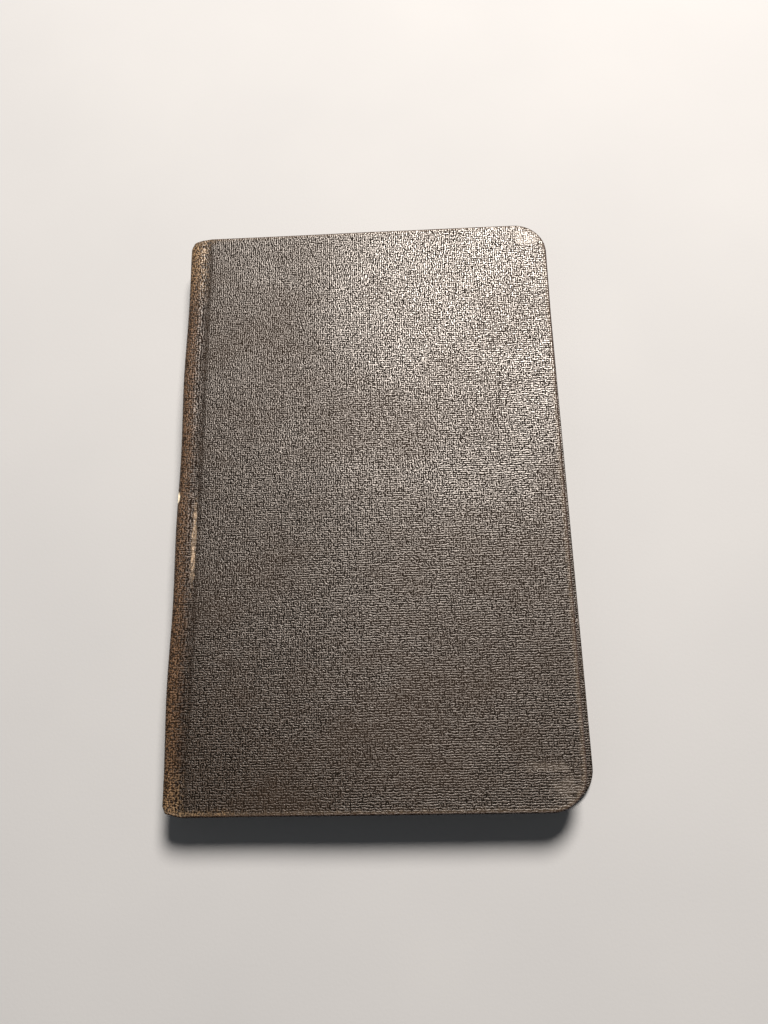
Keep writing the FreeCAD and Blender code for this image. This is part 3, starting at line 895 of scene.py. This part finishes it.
def bookcloth():
    """Black linen-grained book cloth, browned along the spine and rubbed along its edges, with
    painted shade in its hollows and at its very edge, and a painted highlight line along the
    ridge.
    """
    s = Shader("bookcloth")
    place = s.kept("rest", vector=True)
    across, along, _ = s.parts(place)
    ribs = cloth_ribs(s, place)
    threads = s.ramp(ribs, -0.5, 0.6)
    relief = s.ramp(ribs, -1.3, 1.6)
    fibre = s.grain(place, 0.16, 2.0, 0.6)
    rim, rubbed = cloth_edges(s, place)
    smoothed, ridge_highlight, nick, crease = front_wear(s, place)
    browned, brown = faded_cloth(s, place, threads)
    dusty = s.ramp(s.grain(place, (30.0, 18.0, 20.0), 4.0, 0.6), 0.38, 0.7)
    handled = s.ramp(s.plus(across, s.times(along, 1.2)), -60.0, -130.0)
    highlight_breaks = s.ramp(s.grain(place, (0.4, 1.3, 0.4), 2.0), 0.44, 0.60)

    # Painted shade: the weave's hollows are near black, and its tops are lighter, partly from
    # rubbing.
    colour = s.mix(threads, CLOTH_HOLLOW_SHADE, CLOTH_TOP)
    colour = s.mix(s.times(dusty, 0.35), colour, CLOTH_DUST)
    colour = s.mix(s.times(browned, 0.85), colour, brown)
    colour = s.mix(s.times(rubbed, 0.3), colour, CLOTH_RUBBED)
    # Worn dark edge, also painted shade where the edge rolls away from the lamp.
    colour = s.mix(s.times(rim, 0.8), colour, CLOTH_RIM_WORN_AND_SHADED)
    colour = s.mix(s.times(smoothed, 0.35), colour, CLOTH_SMOOTHED)
    # Painted highlight: a pale broken line along the ridge's inner slope.
    colour = s.mix(s.times(ridge_highlight, s.blend(highlight_breaks, 0.15, 0.6)), colour, RIDGE_HIGHLIGHT_PAINT)
    colour = s.mix(nick, colour, BARE_PAPER)

    calm = s.math("SUBTRACT", 1.0, s.times(smoothed, 0.75))
    height = s.times(s.blend(0.4, threads, relief), calm)
    height = s.plus(height, s.times(fibre, 0.08))
    height = s.plus(height, s.times(crease, -0.35))

    roughness = s.blend(threads, 0.6, CLOTH_SHINE)
    roughness = s.blend(s.times(browned, 0.7), roughness, 0.5)
    roughness = s.blend(rim, roughness, 0.8)
    roughness = s.blend(smoothed, roughness, 0.42)
    gloss = s.times(s.blend(s.times(dusty, 0.5), CLOTH_GLOSS, 0.45), s.blend(threads, 0.04, 1.0))
    gloss = s.times(gloss, s.blend(browned, 1.0, 0.4))
    gloss = s.times(gloss, s.blend(handled, 1.0, 0.55))
    return s.finish(Base_Color=colour, Roughness=roughness, Specular_IOR_Level=gloss,
                    Normal=s.bump(height, WEAVE_HEIGHT))


def paper(name, colour, browned, on_cad=False):
    """Aged paper: cloudy, speckled with foxing and browner at its trimmed edges."""
    s = Shader(name)
    place = s.cad_place() if on_cad else s.kept("rest", vector=True)
    clouds = s.grain(place, 26.0, 3.0, 0.55)
    fibre = s.grain(place, (0.25, 0.9, 0.25), 3.0, 0.65)
    tone = s.mix(s.times(s.ramp(clouds, 0.35, 0.75), 0.28), colour, browned)
    tone = s.mix(s.times(fibre, 0.16), tone, browned)
    foxing = s.times(s.ramp(s.cells(place, 7.0), 0.16, 0.05),
                     s.ramp(s.grain(place, 18.0, 1.0), 0.52, 0.68))
    tone = s.mix(s.times(foxing, 0.4), tone, (0.24, 0.13, 0.06))
    if not on_cad:
        edge = s.plus(s.kept("edge"), s.times(s.plus(s.grain(place, 4.0, 3.0), -0.5), 0.5))
        tone = s.mix(s.times(s.ramp(edge, 0.1, 1.0), 0.7), tone, browned)
    return s.finish(Base_Color=tone, Roughness=s.ramp(fibre, 0.2, 0.8, 0.78, 0.92),
                    Specular_IOR_Level=0.3, Normal=s.bump(fibre, 0.012 * MM))


def woven(name, colour, shade, pitch, openness):
    """Cotton or linen cloth woven square, with gaps between the threads where it is open."""
    s = Shader(name)
    place = s.cad_place()
    wobble = s.times(s.grain(place, 4.0), 0.35)
    _, along, up = s.parts(place)
    turns = math.tau / pitch
    warp = s.math("SINE", s.times(s.plus(along, wobble), turns))
    weft = s.math("SINE", s.times(s.plus(up, wobble), turns))
    over = s.math("MAXIMUM", s.math("ABSOLUTE", warp), s.math("ABSOLUTE", weft))
    fibre = s.grain(place, (0.08, 0.3, 0.3), 2.0)
    tone = s.mix(s.ramp(over, openness, 1.0), shade, colour)
    tone = s.mix(s.times(fibre, 0.35), tone, shade)
    return s.finish(Base_Color=tone, Roughness=0.85, Specular_IOR_Level=0.25,
                    Normal=s.bump(s.plus(over, s.times(fibre, 0.3)), 0.06 * MM))


def millboard():
    """Grey-brown board pressed from pulp, with flecks of fibre."""
    s = Shader("millboard")
    place = s.kept("rest", vector=True)
    pulp = s.grain(place, (1.5, 0.6, 0.25), 5.0, 0.7)
    fleck = s.ramp(s.grain(place, (0.9, 0.2, 0.2), 3.0), 0.62, 0.7)
    tone = s.mix(pulp, (0.20, 0.165, 0.125), (0.35, 0.31, 0.245))
    tone = s.mix(s.times(fleck, 0.6), tone, (0.16, 0.12, 0.08))
    return s.finish(Base_Color=tone, Roughness=0.9, Normal=s.bump(pulp, 0.05 * MM))


def twisted_thread(name, colour, shade, on_cad=False):
    """Waxed thread whose plies wind round it."""
    s = Shader(name)
    place = s.cad_place() if on_cad else s.kept("rest", vector=True)
    across, along, up = s.parts(place)
    ply = s.math("SINE", s.times(s.plus(s.plus(along, across), s.times(up, 1.5)), math.tau / 0.4))
    fibre = s.grain(place, (0.1, 0.1, 0.1), 3.0)
    tone = s.mix(s.ramp(ply, -1.0, 0.6), shade, colour)
    tone = s.mix(s.times(s.grain(place, 1.5, 2.0), 0.5), tone, shade)
    return s.finish(Base_Color=tone, Roughness=0.7, Specular_IOR_Level=0.35,
                    Normal=s.bump(s.plus(ply, fibre), 0.03 * MM))


def floor_paint():
    """The floor's plain pale paint, very slightly mottled."""
    s = Shader("pale_floor")
    place = s.cad_place()
    mottle = s.grain(place, 60.0, 3.0)
    tone = s.mix(mottle, (0.218, 0.231, 0.246), (0.244, 0.257, 0.271))
    return s.finish(Base_Color=tone, Roughness=0.75, Specular_IOR_Level=0.2,
                    Normal=s.bump(s.grain(place, 0.8, 2.0), 0.02 * MM))


# ---------------------------------------------------------------- floor, light and camera


def floor(material):
    """A plain floor just under the book."""
    turns = ((-1, -1), (1, -1), (1, 1), (-1, 1))
    corners = [(FLOOR_HALF * x, FLOOR_HALF * y, 0) for x, y in turns]
    made = make_object("studio_floor", corners, [(0, 1, 2, 3)])
    made.location.z = cad_low.z - FLOOR_CLEARANCE
    made.data.materials.append(material)


def area_light(name, place, aim, size, power, colour):
    """A round lamp at a place, turned to face another."""
    data = bpy.data.lights.new(name, "AREA")
    data.shape = "DISK"
    data.size = size
    data.energy = power
    data.color = colour
    light = bpy.data.objects.new(name, data)
    light.location = place
    light.rotation_euler = (Vector(aim) - Vector(place)).to_track_quat("-Z", "Y").to_euler()
    bpy.context.scene.collection.objects.link(light)


def lights():
    """A warm lamp beyond the head of the book, off to the right, and pale light all round."""
    cover = (0, 0, THICKNESS)
    area_light("key", place=(0.20, 0.70, 0.90), aim=cover, size=0.40, power=52.0,
               colour=(1.0, 0.89, 0.79))
    area_light("fill", place=(-0.9, -0.5, 1.1), aim=cover, size=1.2, power=2.5,
               colour=(1.0, 0.95, 0.9))
    world = bpy.data.worlds.new("studio")
    world.use_nodes = True
    background = world.node_tree.nodes["Background"]
    background.inputs["Color"].default_value = (0.93, 0.93, 0.95, 1)
    background.inputs["Strength"].default_value = 0.10
    bpy.context.scene.world = world


def camera():
    """Held over the lower half of the book, looking down and a little towards its head."""
    data = bpy.data.cameras.new("camera")
    data.lens = CAMERA_LENS
    data.sensor_width = 36
    data.clip_start = 0.01
    data.clip_end = 50
    roll = Matrix.Rotation(CAMERA_ROLL, 3, "Z")
    look = (CAMERA_AIM - CAMERA_PLACE).to_track_quat("-Z", "Y").to_matrix() @ roll
    made = bpy.data.objects.new("camera", data)
    made.matrix_world = Matrix.Translation(CAMERA_PLACE) @ look.to_4x4()
    bpy.context.scene.collection.objects.link(made)
    bpy.context.scene.camera = made


def dress_cad_nodes():
    """Give the hidden parts that stay as CAD made them their own materials."""
    finishes = {
        "mull": woven("mull_cloth", colour=(0.53, 0.50, 0.43), shade=(0.27, 0.23, 0.17),
                      pitch=0.9, openness=0.55),
        "tape": woven("tape_cloth", colour=(0.55, 0.52, 0.46), shade=(0.35, 0.31, 0.25),
                      pitch=0.35, openness=0.1),
        "lining_paper": paper("kraft_paper", colour=(0.37, 0.29, 0.19),
                              browned=(0.22, 0.16, 0.095), on_cad=True),
        "sewing_thread": twisted_thread("waxed_thread", colour=(0.56, 0.53, 0.46),
                                        shade=(0.32, 0.27, 0.20), on_cad=True),
    }
    for subpart in frame["record"]["subparts"]:
        finish = finishes.get(subpart["material_slot"])
        node = frame["nodes"][subpart["node"]]
        if finish and not node.hide_render:
            node.data.materials.clear()
            node.data.materials.append(finish)


def build():
    """Everything: the case, its papers, the block, the CAD parts' finishes and the studio."""
    cloth = bookcloth()
    endpaper = paper("endpaper", colour=(0.27, 0.25, 0.206), browned=(0.183, 0.143, 0.096))
    leaf_paper = paper("leaf_paper", colour=(0.29, 0.27, 0.224), browned=(0.197, 0.156, 0.106))
    band = twisted_thread("band_thread", colour=(0.46, 0.40, 0.29), shade=(0.20, 0.15, 0.09))
    board_material = millboard()
    for side in SIDES:
        case_cloth(side, cloth)
        board(side, board_material)
        pastedown(side, endpaper)
        free_endpaper(side, endpaper)
        endpaper_joint(side, endpaper)
        for part in ("headband", "tailband"):
            wound_band(side, part, band)
    for number in range(1, SECTIONS + 1):
        section(number, leaf_paper)
    middle_sheet(leaf_paper)
    dress_cad_nodes()
    floor(floor_paint())
    lights()
    camera()
    bpy.context.scene.view_settings.view_transform = "Standard"


build()
